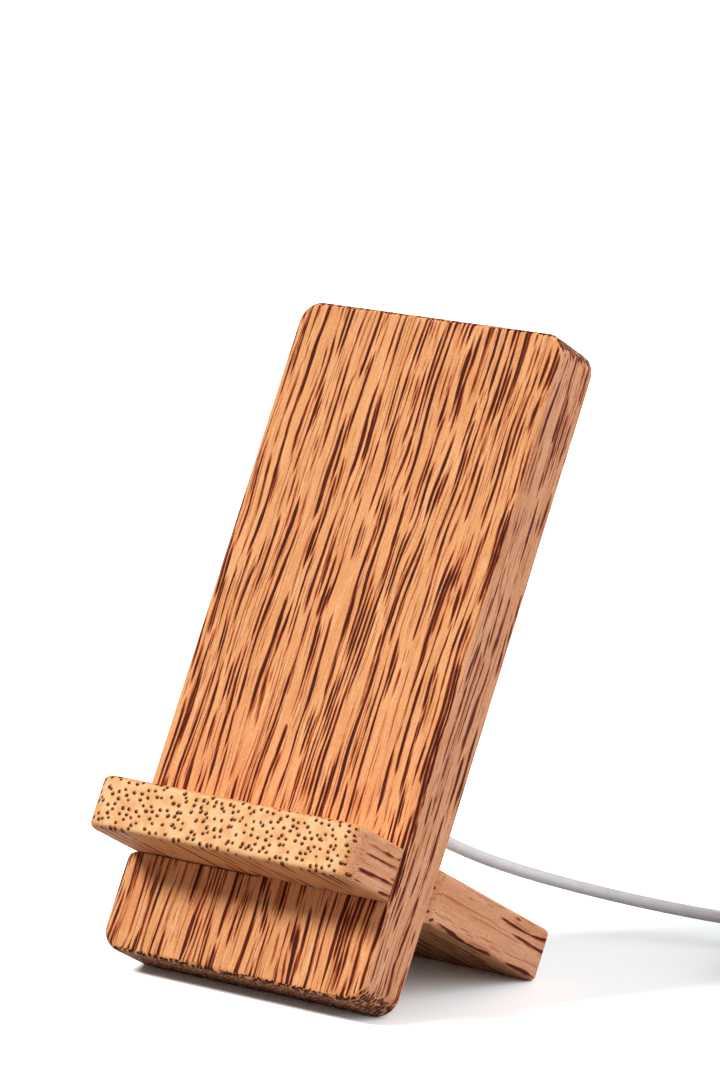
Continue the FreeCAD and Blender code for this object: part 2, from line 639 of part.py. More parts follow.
def export(name, shape):
    """Writes one node's STEP, after testing that its solids are sound."""
    assert shape.isValid() and shape.Solids, name
    shape.exportStep(os.path.join("parts", name + ".step"))
    low = shape.BoundBox
    print("%-22s %2d solid(s) %9.1f mm3  x %.1f..%.1f  y %.1f..%.1f  z %.1f..%.1f" % (
        name, len(shape.Solids), shape.Volume, low.XMin, low.XMax, low.YMin, low.YMax, low.ZMin, low.ZMax))


LEANING_PIECES = [main_board, support_board, back_cover, cover_screws, coil_adhesive, charging_coil,
                  coil_leads, ferrite_sheet, foam_pad, circuit_board, circuit_board_pads, controller_chip,
                  driver_chips, resonance_capacitors, input_capacitor, resistors, socket_shell, socket_tongue,
                  device_plug_shell, device_plug_body, device_plug_relief]
CHARGER_PIECES = [charger_plug_relief, charger_plug_body, charger_plug_shell, charger_plug_tongue,
                  charger_plug_contacts]

os.makedirs("parts", exist_ok=True)
print("leans back %.2f degrees" % TILT)
for make in LEANING_PIECES:
    export(make.__name__, lean_back(make()))
for make in CHARGER_PIECES:
    export(make.__name__, lay_charger_plug(make()))
export("cable_lead", tube(lead_route()))
export("cable_tail", tube(tail_route()))
export("cable_coil", cable_coil())
export("cable_tie", cable_tie())
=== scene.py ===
import json
import math

import bmesh
import bpy
from mathutils import Matrix, Vector


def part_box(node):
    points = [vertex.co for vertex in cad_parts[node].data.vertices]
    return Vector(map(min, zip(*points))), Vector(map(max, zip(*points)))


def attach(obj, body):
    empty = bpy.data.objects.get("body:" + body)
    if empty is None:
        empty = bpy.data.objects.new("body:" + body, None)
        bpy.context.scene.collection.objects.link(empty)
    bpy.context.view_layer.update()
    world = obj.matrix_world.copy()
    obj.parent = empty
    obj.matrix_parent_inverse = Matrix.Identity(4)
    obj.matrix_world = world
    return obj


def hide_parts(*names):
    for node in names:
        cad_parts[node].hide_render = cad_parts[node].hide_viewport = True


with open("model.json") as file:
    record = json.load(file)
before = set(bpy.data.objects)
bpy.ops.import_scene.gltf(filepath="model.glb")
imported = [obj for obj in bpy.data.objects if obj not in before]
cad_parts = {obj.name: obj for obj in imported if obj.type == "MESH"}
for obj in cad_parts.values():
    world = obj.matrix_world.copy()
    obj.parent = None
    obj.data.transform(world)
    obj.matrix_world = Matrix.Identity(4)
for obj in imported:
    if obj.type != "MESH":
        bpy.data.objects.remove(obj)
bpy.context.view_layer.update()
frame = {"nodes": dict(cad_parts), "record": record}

# A leaning phone stand of two interlocking palm-wood boards, with its charging cable.
# Places are in metres in the frame's own axes: X to the right, Y to the back, Z up.
# Sizes in the constants are in millimetres, except the camera's, the floor's and the cable's
# length, and those that are multiplied by MM where they are written.

MM = 0.001
scene = bpy.context.scene
nodes = frame["nodes"]

# The leaning boards' own directions, from the faces that the phone rests on
mounts = {mount["name"]: mount for mount in frame["record"]["mounts"]}
RIGHT = Vector((1, 0, 0))
BACK = -Vector(mounts["phone_back_rest"]["axis"]).normalized()
UP_BOARD = Vector(mounts["phone_ledge"]["axis"]).normalized()

# The floor's own directions
REARWARD = Vector((0, 1, 0))
UPWARD = Vector((0, 0, 1))


def srgb(red, green, blue):
    """A colour written as three numbers from 0 to 255, as the linear one that shaders take."""
    linear = [((c / 255 + 0.055) / 1.055) ** 2.4 if c > 10 else c / 255 / 12.92
              for c in (red, green, blue)]
    return (*linear, 1.0)


# ---------------------------------------------------------------- camera, floor and light

CAMERA_PLACE = (0.689877, -0.961154, 0.276807)
CAMERA_RIGHT = Vector((0.80777593, 0.58688156, 0.05539028))
CAMERA_UP = Vector((-0.13456911, 0.09210176, 0.98661463))
CAMERA_LENS = 191.77
CAMERA_SENSOR = 36.0
CAMERA_REACH = 50.0

FLOOR_SIZE = 16.0
FLOOR_COLOUR = (0.24, 0.24, 0.24, 1.0)  # as the object's bounced light has it
FLOOR_SEEN = (1.0, 1.0, 1.0, 1.0)       # as it is looked at, or mirrored
FLOOR_ADDED = (0.68, 0.74, 0.74, 1.0)   # added there, so that it is white out of the shadow
FLOOR_ADDED_UNSEEN = (0.0, 0.0, 0.0, 1.0)

# Each lamp: where it shines from, its strength, how many degrees wide it is, and its colour
LAMPS = {
    "key_light": ((-0.42, -0.72, 0.80), 2.75, 14.0, (1.0, 0.965, 0.92)),
    "fill_light": ((1.0, 0.0, 0.44), 2.1, 85.0, (0.95, 0.97, 1.0)),
    "top_light": ((0.1, 0.9, 1.0), 0.55, 70.0, (1.0, 0.99, 0.98)),
}
AMBIENT = 0.12
AMBIENT_COLOUR = (1.0, 0.94, 0.95, 1.0)


def make_camera():
    """The camera where the stand is seen from its right, a little above."""
    data = bpy.data.cameras.new("camera")
    data.lens = CAMERA_LENS
    data.sensor_width = CAMERA_SENSOR
    data.clip_end = CAMERA_REACH
    camera = bpy.data.objects.new("camera", data)
    scene.collection.objects.link(camera)
    away = CAMERA_RIGHT.cross(CAMERA_UP)
    turned = Matrix((CAMERA_RIGHT, CAMERA_UP, away)).transposed().to_4x4()
    camera.matrix_world = Matrix.Translation(CAMERA_PLACE) @ turned
    scene.camera = camera


def make_lamps():
    """Lamps as wide as soft boxes: from the front left, from the right, and from behind above."""
    for name, (towards, strength, angle, colour) in LAMPS.items():
        data = bpy.data.lights.new(name, "SUN")
        data.energy = strength
        data.color = colour
        data.angle = math.radians(angle)
        lamp = bpy.data.objects.new(name, data)
        scene.collection.objects.link(lamp)
        lamp.rotation_euler = Vector(towards).to_track_quat("Z", "Y").to_euler()


def make_world():
    """An even white surround: plain ambient light, and white wherever it is seen or mirrored."""
    world = bpy.data.worlds.new("studio")
    scene.world = world
    world.use_nodes = True
    tree = world.node_tree
    tree.nodes.clear()
    path = tree.nodes.new("ShaderNodeLightPath")
    seen = path.outputs["Is Camera Ray"]
    for ray in ("Is Glossy Ray", "Is Transmission Ray"):
        either = tree.nodes.new("ShaderNodeMath")
        either.operation = "MAXIMUM"
        tree.links.new(seen, either.inputs[0])
        tree.links.new(path.outputs[ray], either.inputs[1])
        seen = either.outputs[0]
    lit, white = [tree.nodes.new("ShaderNodeBackground") for _ in range(2)]
    lit.inputs["Color"].default_value = AMBIENT_COLOUR
    lit.inputs["Strength"].default_value = AMBIENT
    white.inputs["Strength"].default_value = 1.0
    mixed = tree.nodes.new("ShaderNodeMixShader")
    tree.links.new(seen, mixed.inputs[0])
    tree.links.new(lit.outputs[0], mixed.inputs[1])
    tree.links.new(white.outputs[0], mixed.inputs[2])
    output = tree.nodes.new("ShaderNodeOutputWorld")
    tree.links.new(mixed.outputs[0], output.inputs["Surface"])


# ---------------------------------------------------------------- shader trees


class Shader:
    """A material with one Principled surface, and short ways to build what feeds it."""

    BEVEL_SAMPLES = 4

    def __init__(self, name, roughness=0.5, metallic=0.0):
        self.material = bpy.data.materials.new(name)
        self.material.use_nodes = True
        self.tree = self.material.node_tree
        self.tree.nodes.clear()
        self.surface = self.add("BsdfPrincipled", {"Roughness": roughness, "Metallic": metallic})
        self.output = self.add("OutputMaterial", {"Surface": self.surface.outputs[0]})
        self.places = self.add("TexCoord")
        self.here = self.scaled(self.places.outputs["Object"], 1 / MM)

    def put(self, socket, value):
        if isinstance(value, bpy.types.NodeSocket):
            self.tree.links.new(value, socket)
        else:
            socket.default_value = value

    def put_surface(self, values):
        for socket, value in values.items():
            self.put(self.surface.inputs[socket], value)

    def add(self, kind, inputs=None, **settings):
        node = self.tree.nodes.new("ShaderNode" + kind)
        for setting, value in settings.items():
            setattr(node, setting, value)
        for socket, value in (inputs or {}).items():
            self.put(node.inputs[socket], value)
        return node

    def math(self, operation, *values):
        return self.add("Math", dict(enumerate(values)), operation=operation).outputs[0]

    def times(self, first, *others):
        for other in others:
            first = self.math("MULTIPLY", first, other)
        return first

    def times_plus(self, value, factor, addend):
        return self.math("MULTIPLY_ADD", value, factor, addend)

    def vector(self, operation, *values):
        node = self.add("VectorMath", dict(enumerate(values)), operation=operation)
        is_number = operation in ("DOT_PRODUCT", "LENGTH", "DISTANCE")
        return node.outputs["Value" if is_number else "Vector"]

    def scaled(self, vector, scale):
        node = self.add("VectorMath", {0: vector, "Scale": scale}, operation="SCALE")
        return node.outputs["Vector"]

    def along(self, vector, axis):
        """How far a vector reaches along a fixed axis."""
        return self.vector("DOT_PRODUCT", vector, tuple(axis))

    def facing(self, axis):
        """How squarely the surface faces along an axis, either way: 1 is straight, 0 is edge on."""
        return self.math("ABSOLUTE", self.along(self.places.outputs["Normal"], axis))

    def combine(self, x, y, z=0.0):
        return self.add("CombineXYZ", {0: x, 1: y, 2: z}).outputs[0]

    def step(self, value, low, high):
        """0 below low, 1 above high, and smooth between. low may be above high."""
        return self.add("MapRange", {"Value": value, "From Min": low, "From Max": high},
                        interpolation_type="SMOOTHSTEP").outputs[0]

    def mix(self, factor, first, second):
        node = self.add("Mix", data_type="RGBA")
        for index, value in ((0, factor), (6, first), (7, second)):
            self.put(node.inputs[index], value)
        return node.outputs[2]

    def over(self, ground, colour, *amounts):
        """The ground with a colour laid over it, by the product of those amounts."""
        return self.mix(self.times(*amounts), ground, colour)

    def noise(self, vector, scale=1.0, detail=2.0, roughness=0.5):
        return self.add("TexNoise", {"Vector": vector, "Scale": scale, "Detail": detail,
                                     "Roughness": roughness})

    def cells(self, vector, spacing, randomness):
        """Flat Voronoi cells, as many millimetres apart as the spacing says."""
        return self.add("TexVoronoi", {"Vector": self.scaled(vector, 1 / spacing), "Scale": 1.0,
                                       "Randomness": randomness}, voronoi_dimensions="2D")

    def relief(self, height, depth, softened=0.0):
        """Bump, depth millimetres for a height from 0 to 1, over edges softened by a radius."""
        bump = self.add("Bump", {"Height": height, "Distance": depth * MM})
        if softened:
            bevel = self.add("Bevel", {"Radius": softened * MM}, samples=self.BEVEL_SAMPLES)
            self.put(bump.inputs["Normal"], bevel.outputs[0])
        self.put(self.surface.inputs["Normal"], bump.outputs[0])


# ---------------------------------------------------------------- palm wood

LEDGE_END_GROUND = srgb(252, 208, 156), srgb(240, 180, 124)
BOARD_END_GROUND = srgb(248, 184, 144), srgb(218, 144, 104)
SIDE_GROUND = srgb(242, 174, 118)
SIDE_GROUND_WARM = srgb(208, 126, 70)
SIDE_GROUND_LIGHT = srgb(255, 220, 172)
# Partly the wood's pink tint, partly painted sheen and side light: a paler ground that only the
# faces looking sideways get
FLANK_GROUND_AND_SHEEN = srgb(249, 183, 146)
BUNDLE_DARK = srgb(62, 20, 8)
# Partly the streaks' own colour, partly painted sheen: a purple-brown that only the streaks on the
# faces looking sideways get
BUNDLE_PURPLE_AND_SHEEN = srgb(94, 42, 38)
BUNDLE_RIM = srgb(160, 64, 24)
BUNDLE_PALE = srgb(200, 132, 76)
FIBRE_RED = srgb(146, 50, 18)

# What both boards' wood shares. A size is in millimetres across the grain and along it, and a range
# is where a pattern starts and where it is full.
WOOD_ROUGHNESS = 0.55
WOOD_SPECULAR = 0.07
WOOD_RELIEF = 0.08
WOOD_EDGES_SOFTENED = 0.35
SMALL_BENDS_SIZE = (6.0, 24.0)
WIDE_BENDS_SIZE = (40.0, 150.0)
WIDE_BENDS_REACH = 8.0
RAGGED_SIZE = (0.2, 3.0)
BANDS_SIZE = (3.0, 22.0)
LINES_SIZE = (0.16, 7.0)
PORES_SIZE = (0.22, 0.5)
FIBRE_SPACING = 0.8
BUNDLE_SCATTER = 0.85                # how far the bundles are from a regular grid, from 0 to 1
BUNDLES_APART_IN_NOISE = 60.0        # so that no two bundles have the same noise along them
END_FACING = (0.30, 0.62)            # how squarely a face cuts the grain, for dots
END_GROUND_FACING = (0.68, 0.97)
FLANK_FACING = (0.5, 0.9)
STREAK_NOISE = (0.62, 0.92)
FLANK_STREAK_NOISE = (0.66, 0.96)
SHARE_LOWERS_NOISE = 0.34
STREAK_FULLNESS = 1.3
RIM_INSIDE = (-0.16, 0.03)           # how far inside a bundle's edge its rim and its dark start
BUNDLE_INSIDE = (-0.02, 0.12)
CORE_OFFSET = 0.75                   # of the dot's radius, as are the next two
CORE_EDGE = (0.9, 0.68)
FIBRE_DISTANCE = (0.24, 0.10)


def palm_wood(name, cross, rise, along, end_colours, spacing, bundle_radius, sway, streak_length,
              flank_length, streak_share, end_growth, fibre_amount):
    """Palm wood is pale ground tissue with dark bundles that run along it.

    Each bundle is a wandering rod, so a face across the grain shows dots, and a face along it
    shows streaks where a rod comes and goes. The streaks are about streak_length long, or
    flank_length on the faces that look along cross, and they taper to both ends. A larger
    streak_share makes more of them dark. end_growth is how much wider the dots are.
    """
    wood = Shader(name, roughness=WOOD_ROUGHNESS)
    wood.put_surface({"Specular IOR Level": WOOD_SPECULAR})
    across, height, length = [wood.along(wood.here, axis) for axis in (cross, rise, along)]

    def stretched(crosswise, lengthwise):
        """A place in the wood, scaled by a size across the grain and along it."""
        return wood.combine(wood.math("DIVIDE", across, crosswise),
                            wood.math("DIVIDE", height, crosswise),
                            wood.math("DIVIDE", length, lengthwise))

    def bends(size, reach):
        """How far a rod is off its straight line, by bends of that size."""
        noise = wood.noise(stretched(*size), detail=1.0)
        centred = wood.vector("SUBTRACT", noise.outputs["Color"], (0.5, 0.5, 0.5))
        return wood.vector("MULTIPLY", centred, (reach, reach, 0.0))

    end = wood.step(wood.facing(along), *END_FACING)
    side = wood.math("SUBTRACT", 1.0, end)
    flank = wood.step(wood.facing(cross), *FLANK_FACING)

    # Half a cell to one side, so that the flanks cut the rods near their middle
    here = wood.combine(wood.math("ADD", across, spacing / 2), height)
    here = wood.vector("ADD", here, wood.scaled(bends(SMALL_BENDS_SIZE, sway), side))
    here = wood.vector("ADD", here, bends(WIDE_BENDS_SIZE, WIDE_BENDS_REACH))
    bundles = wood.cells(here, spacing, BUNDLE_SCATTER)
    chances = wood.add("SeparateColor", {0: bundles.outputs["Color"]}).outputs
    offset = wood.vector("SUBTRACT", here, wood.scaled(bundles.outputs["Position"], spacing))

    # Along a rod, how full it is: that draws its streaks
    own = wood.combine(wood.times(chances[0], BUNDLES_APART_IN_NOISE),
                       wood.times(chances[1], BUNDLES_APART_IN_NOISE),
                       wood.math("DIVIDE", length, streak_length))
    own_on_flank = wood.vector("MULTIPLY", own, (1.0, 1.0, streak_length / flank_length))
    fullness, flank_fullness = [
        wood.step(wood.noise(place, detail=1.0).outputs[0],
                  *(limit - SHARE_LOWERS_NOISE * streak_share for limit in limits))
        for place, limits in ((own, STREAK_NOISE), (own_on_flank, FLANK_STREAK_NOISE))]
    fullness = wood.times_plus(flank, wood.math("SUBTRACT", flank_fullness, fullness), fullness)
    fullness = wood.times(fullness, STREAK_FULLNESS)

    # Each bundle's own radius, its ragged edge, and how deep a place is inside it
    radius = wood.times_plus(chances[0], 0.6 * bundle_radius, 0.7 * bundle_radius)
    radius = wood.times(radius, wood.times_plus(side, wood.math("SUBTRACT", fullness, 1.0), 1.0))
    ragged = wood.noise(stretched(*RAGGED_SIZE), detail=4.0, roughness=0.65).outputs[0]
    ragged = wood.times(wood.math("SUBTRACT", ragged, 0.5),
                        wood.times_plus(side, bundle_radius, 0.6 * bundle_radius))
    distance = wood.math("ADD", ragged, wood.vector("LENGTH", offset))
    inside = wood.times_plus(end, end_growth, wood.math("SUBTRACT", radius, distance))
    rim = wood.times(wood.step(inside, *RIM_INSIDE), wood.times_plus(side, 0.7, 0.3))
    bundle = wood.step(inside, *BUNDLE_INSIDE)

    # On the end grain, a pale core to one side of each dot
    turn = wood.times_plus(chances[1], 2.4, 0.2)
    aside_by = CORE_OFFSET * (bundle_radius + end_growth)
    aside = wood.combine(wood.times(wood.math("COSINE", turn), aside_by),
                         wood.times(wood.math("SINE", turn), aside_by))
    core = wood.step(wood.vector("DISTANCE", offset, aside),
                     *(share * aside_by for share in CORE_EDGE))

    # The ground between them: soft bands, long fine lines, red fibres and a grain of pores
    tone = wood.step(wood.noise(stretched(*BANDS_SIZE), detail=3.0).outputs[0], 0.32, 0.68)
    line = wood.noise(stretched(*LINES_SIZE), detail=3.0, roughness=0.6).outputs[0]
    pores = wood.noise(stretched(*PORES_SIZE), detail=3.0, roughness=0.7).outputs[0]
    fibre = wood.step(wood.cells(here, FIBRE_SPACING, 1.0).outputs["Distance"], *FIBRE_DISTANCE)
    # Painted sheen and side light, with the wood's pink tint: the faces that look sideways get a
    # paler, pinker ground
    side_ground = wood.over(SIDE_GROUND, FLANK_GROUND_AND_SHEEN, flank, 0.85)
    side_ground = wood.over(side_ground, SIDE_GROUND_WARM, tone, 0.4)
    side_ground = wood.over(side_ground, SIDE_GROUND_WARM, wood.step(line, 0.5, 0.68), 0.55)
    side_ground = wood.over(side_ground, SIDE_GROUND_LIGHT, wood.step(line, 0.46, 0.30), 0.6)
    side_ground = wood.over(side_ground, FIBRE_RED, fibre, fibre_amount)
    ground = wood.mix(wood.step(wood.facing(along), *END_GROUND_FACING),
                      side_ground, wood.mix(tone, *end_colours))
    ground = wood.over(ground, SIDE_GROUND_WARM, wood.step(pores, 0.52, 0.70),
                       wood.times_plus(flank, 0.2, 0.75))
    ground = wood.over(ground, SIDE_GROUND_LIGHT, wood.step(pores, 0.44, 0.28), side, 0.55)

    # Painted sheen, with some bundles' own colour: streaks on the faces that look sideways turn
    # purple-brown, by chance per bundle
    dark = wood.over(BUNDLE_DARK, BUNDLE_PURPLE_AND_SHEEN, chances[2], flank)
    dark = wood.over(dark, BUNDLE_RIM, wood.step(line, 0.55, 0.75), side)
    dark = wood.over(dark, BUNDLE_PALE, core, end, 0.85)
    wood.put_surface({"Base Color": wood.mix(bundle, wood.over(ground, BUNDLE_RIM, rim), dark)})
    grain = wood.times(wood.math("ADD", line, pores), 0.5)
    wood.relief(wood.times_plus(bundle, -0.6, grain), WOOD_RELIEF, WOOD_EDGES_SOFTENED)
    return wood.material


# ---------------------------------------------------------------- the other materials

CLOUD_SCALE = 0.16              # of the grain's own scale
CLOUD_RANGE = (0.35, 0.65)      # of the noise, where the first tone turns into the second
GLOW_AMOUNT = 0.6
GLOW_COLOURS = (1.0, 0.95, 0.93)
BRUSHED_RELIEF = 0.01
BRUSHED_LENGTHWISE, BRUSHED_CROSSWISE = 0.4, 9.0     # how fine the lines are, per millimetre
WIRE_WIDTH = 1.2
WIRE_RELIEF = 0.3
TRACKS_SPACING = 2.5
TRACK_REPEAT = 0.16
TRACK_EDGE = (0.10, 0.12)
TRACK_RELIEF = 0.03


def grained(name, colour, second, roughness, grain, depth, softened=0.0, glow_depth=0.0):
    """A moulded or painted surface: two close tones in clouds, and a grain of that size and depth.
    Light goes glow_depth millimetres into a soft plastic."""
    made = Shader(name, roughness=roughness)
    if glow_depth:
        made.put_surface({"Subsurface Weight": GLOW_AMOUNT, "Subsurface Radius": GLOW_COLOURS,
                          "Subsurface Scale": glow_depth * MM})
    cloud = made.noise(made.here, scale=CLOUD_SCALE / grain, detail=3.0).outputs[0]
    fine = made.noise(made.here, scale=1 / grain, detail=4.0).outputs[0]
    made.put_surface({"Base Color": made.mix(made.step(cloud, *CLOUD_RANGE), colour, second),
                      "Roughness": made.times_plus(fine, 0.16, roughness - 0.08)})
    made.relief(fine, depth, softened)
    return made.material


def brushed(name, colour, second, roughness, along):
    """Metal with fine lines along one of the frame's axes."""
    made = Shader(name, roughness=roughness, metallic=1.0)
    fineness = tuple(BRUSHED_LENGTHWISE if part else BRUSHED_CROSSWISE for part in along)
    lines = made.noise(made.vector("MULTIPLY", made.here, fineness), detail=4.0).outputs[0]
    made.put_surface({"Base Color": made.mix(made.step(lines, *CLOUD_RANGE), colour, second),
                      "Roughness": made.times_plus(lines, 0.2, roughness - 0.1)})
    made.relief(lines, BRUSHED_RELIEF)
    return made.material


def wound_copper(name, centre):
    """Copper wire wound flat: rings round the coil's centre, each rounded, with painted shade in
    the grooves between them.
    """
    made = Shader(name, roughness=0.3, metallic=1.0)
    offset = made.vector("SUBTRACT", made.here, tuple(centre / MM))
    flat = made.combine(made.along(offset, RIGHT), made.along(offset, UP_BOARD))
    rings = made.math("SINE", made.times(made.vector("LENGTH", flat), math.tau / WIRE_WIDTH))
    # Painted shade: the dark copper lies where the relief is lowest, in the grooves between the
    # turns
    made.put_surface({"Base Color": made.mix(made.step(rings, -0.9, 0.1),
                                             srgb(120, 58, 34), srgb(206, 122, 78))})
    made.relief(made.step(rings, -1.0, 1.0), WIRE_RELIEF)
    return made.material


def solder_mask(name):
    """A green circuit board with paler tracks."""
    made = Shader(name, roughness=0.32)
    flat = made.combine(made.along(made.here, RIGHT), made.along(made.here, UP_BOARD))
    fields = made.add("TexVoronoi",
                      {"Vector": flat, "Scale": 1 / TRACKS_SPACING, "Randomness": 0.5},
                      voronoi_dimensions="2D", distance="CHEBYCHEV")
    track = made.step(made.math("PINGPONG", fields.outputs["Distance"], TRACK_REPEAT), *TRACK_EDGE)
    made.put_surface({"Base Color": made.mix(track, srgb(18, 78, 48), srgb(34, 112, 70))})
    made.relief(track, TRACK_RELIEF)
    return made.material


def make_materials():
    """Every material slot of the record, by name."""
    low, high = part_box("charging_coil")
    white, soft_white = srgb(242, 238, 239), srgb(236, 231, 232)
    # Two tones, roughness, then the size and depth of the grain
    grained_slots = {
        "cover_plastic": (srgb(44, 43, 43), srgb(50, 49, 49), 0.62, 0.35, 0.03, 0.2),
        "adhesive": (srgb(196, 190, 178), srgb(182, 176, 164), 0.7, 0.5, 0.02),
        "ferrite": (srgb(58, 58, 62), srgb(70, 69, 72), 0.55, 0.2, 0.02),
        "foam": (srgb(38, 38, 40), srgb(54, 54, 56), 0.95, 0.4, 0.2),
        "chip_black": (srgb(28, 28, 30), srgb(36, 36, 38), 0.55, 0.12, 0.01),
        "ceramic": (srgb(166, 132, 98), srgb(148, 116, 84), 0.5, 0.3, 0.01),
        "insulator_black": (srgb(30, 30, 32), srgb(38, 38, 40), 0.5, 0.2, 0.01),
        "cable_white": (white, soft_white, 0.42, 0.5, 0.012, 0.25, 1.2),
        "tie_grey": (srgb(150, 151, 154), srgb(138, 139, 142), 0.7, 0.3, 0.05),
        "insulator_white": (white, soft_white, 0.5, 0.3, 0.01),
    }
    # Two tones, roughness, then the axis that the lines follow
    brushed_slots = {
        "screw_steel": (srgb(150, 150, 152), srgb(186, 186, 188), 0.34, (0, 0, 1)),
        "can_aluminium": (srgb(190, 191, 194), srgb(210, 211, 214), 0.3, (0, 1, 0)),
        "connector_steel": (srgb(186, 187, 190), srgb(205, 206, 208), 0.28, (0, 1, 0)),
        "contact_gold": (srgb(214, 168, 84), srgb(232, 190, 110), 0.25, (0, 1, 0)),
    }
    materials = {
        "board_wood": palm_wood(
            "board_wood", RIGHT, BACK, UP_BOARD, BOARD_END_GROUND,
            spacing=1.05, bundle_radius=0.26, sway=2.8, streak_length=14.0, flank_length=6.5,
            streak_share=1.06, end_growth=0.34, fibre_amount=0.75),
        "support_wood": palm_wood(
            "support_wood", RIGHT, UP_BOARD, BACK, LEDGE_END_GROUND,
            spacing=1.7, bundle_radius=0.27, sway=2.8, streak_length=9.0, flank_length=8.0,
            streak_share=1.05, end_growth=0.16, fibre_amount=0.6),
        "coil_copper": wound_copper("coil_copper", (low + high) / 2),
        "circuit_green": solder_mask("circuit_green"),
    }
    materials |= {slot: grained(slot, *values) for slot, values in grained_slots.items()}
    materials |= {slot: brushed(slot, *values) for slot, values in brushed_slots.items()}
    return materials


def dress_nodes(materials):
    """Gives every CAD node the material of its slot."""
    slots = {part["node"]: part["material_slot"] for part in frame["record"]["subparts"]}
    for name, piece in nodes.items():
        piece.data.materials.clear()
        piece.data.materials.append(materials[slots[name]])


# ---------------------------------------------------------------- the cable

CABLE_DIAMETER = 2.8 * MM
CABLE_ROUNDNESS = 7
CABLE_SMOOTHNESS = 10
CABLE_EXIT = Vector((0.0, 26.98, 30.29)) * MM
LEAD_ROUTE = [(0.0, 26.98, 30.29), (0.0, 41.53, 23.64), (3.8, 58.1, 16.6), (15.0, 76.1, 10.4),
              (33.0, 89.6, 6.5), (54.7, 97.4, 5.5), (71.0, 100.0, 1.5), (82.0, 100.0, 1.5)]
TAIL_ROUTE = [(101.0, 75.0, 8.8), (101.0, 68.0, 5.6), (101.0, 62.5, 4.0), (101.0, 58.0, 4.0)]

COIL_CENTRE = (82.0, 81.0)
COIL_RADII = (19.0, 12.9)
COIL_ROWS = 4
COIL_TURNS = 8.25
POINTS_PER_TURN = 16
STEP_UP_TURN = 0.16       # the part of a turn in which the cable climbs to the next row
TIE_TURN = -60.0          # where the strap is, in degrees from the right
TIE_LIFT = 0.8            # how far the turns rise over the strap, and how many degrees to each side
TIE_LIFT_REACH = 50

# The plug in the stand, and the plug for a charger: width, thickness and length of the moulded
# body, radius of its corners, and length, radii and ribs of the strain relief
STAND_PLUG = ((12.2, 6.6, 17.0), 2.4, (12.7, (2.7, 1.9), 6))
CHARGER_PLUG = ((15.6, 8.0, 20.0), 2.6, (8.0, (2.9, 1.9), 4))
CHARGER_PLUG_FRONT = Vector((101.0, 30.0, 4.0)) * MM
PLUG_SHARP_FROM = 30.0

# A moulded body's sections from its front: how far along, and how far inside its full outline
PLUG_COLLAR = [(0, 0.45), (0.06, 0.25), (0.2, 0.08), (0.45, 0), (1.6, 0), (1.68, 0.16), (2.0, 0.16),
               (2.08, 0)]
PLUG_WAIST = 0.28
PLUG_BESIDE_WAIST = 4.6   # of the body's length, for its collar and its rounded end
PLUG_WAIST_STEPS = 10
PLUG_ROUNDING = 2.1
PLUG_ROUNDING_STEPS = 8
PLUG_CORNER_STEPS = 8
PLUG_LEAST_CORNER = 0.5

RELIEF_SIDES = 40
RELIEF_STEPS_PER_RIB = 12
RELIEF_GROOVE = 0.35
RELIEF_RIB_ROUNDNESS = 0.35   # a power: 1 is a round rib, and less is flatter
RELIEF_ROOTED = 2.0       # how far it starts inside the plug's body
RELIEF_SHARP_FROM = 38.0

# The strap round the coil: middle of the turns that it holds, and half the width and height of its
# loop. Angles are in degrees round the loop.
STRAP_MIDDLE = (16.0, 6.4)
STRAP_REACH = (5.1, 6.0)
STRAP_WIDTH = 7.0
STRAP_THICKNESS = 0.8
STRAP_SQUARENESS = 8
STRAP_START = 100.0
STRAP_SWEEP = 470.0
STRAP_LAPS_FROM = 315
STRAP_LAPS_WITHIN = 40
STRAP_LAP_GAP = 0.05
STRAP_ROUNDED_TIP = 26.0
STRAP_TIP_LEAST = 0.02    # so that the tip ends with some width
STRAP_STEPS = 150
STRAP_EDGE_STEPS = 6
STRAP_SHARP_FROM = 50.0


def coil_route():
    """The put-away turns, clockwise from the coil's rear: in along one row, out along the next."""
    points = []
    corner = 1 / math.cos(math.pi / POINTS_PER_TURN)
    row_turns = COIL_TURNS / COIL_ROWS
    outer, inner = COIL_RADII
    for k in range(1, round(COIL_TURNS * POINTS_PER_TURN) + 1):
        turns = k / POINTS_PER_TURN
        row = min(int(turns / row_turns), COIL_ROWS - 1)
        into_row = turns - row * row_turns
        share = into_row / row_turns
        radius = outer + (inner - outer) * (share if row % 2 == 0 else 1 - share)
        level = row - 1 + min(into_row / STEP_UP_TURN, 1) if row else 0
        angle = math.pi / 2 - turns * math.tau
        from_tie = (math.degrees(angle) - TIE_TURN + 180) % 360 - 180
        lift = TIE_LIFT * max(0.0, 1 - abs(from_tie / TIE_LIFT_REACH) ** 3)
        points.append((COIL_CENTRE[0] + radius * corner * math.cos(angle),
                       COIL_CENTRE[1] + radius * corner * math.sin(angle),
                       CABLE_DIAMETER / MM * (level + 0.5) + lift))
    return points


def make_cable(materials):
    """The cable from the plug in the stand to the charger's plug, as one smooth curve."""
    data = bpy.data.curves.new("charging_cable", "CURVE")
    data.dimensions = "3D"
    data.bevel_depth = CABLE_DIAMETER / 2
    data.bevel_resolution = CABLE_ROUNDNESS
    data.resolution_u = CABLE_SMOOTHNESS
    data.use_fill_caps = True
    route = LEAD_ROUTE + coil_route() + TAIL_ROUTE
    spline = data.splines.new("NURBS")
    spline.points.add(len(route) - 1)
    for point, place in zip(spline.points, route):
        point.co = (*(Vector(place) * MM), 1.0)
    spline.order_u = 3
    spline.use_endpoint_u = True
    cable = bpy.data.objects.new("charging_cable", data)
    scene.collection.objects.link(cable)
    data.materials.append(materials["cable_white"])
    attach(cable, "stand")
    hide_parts("cable_lead", "cable_coil", "cable_tail")
    return cable


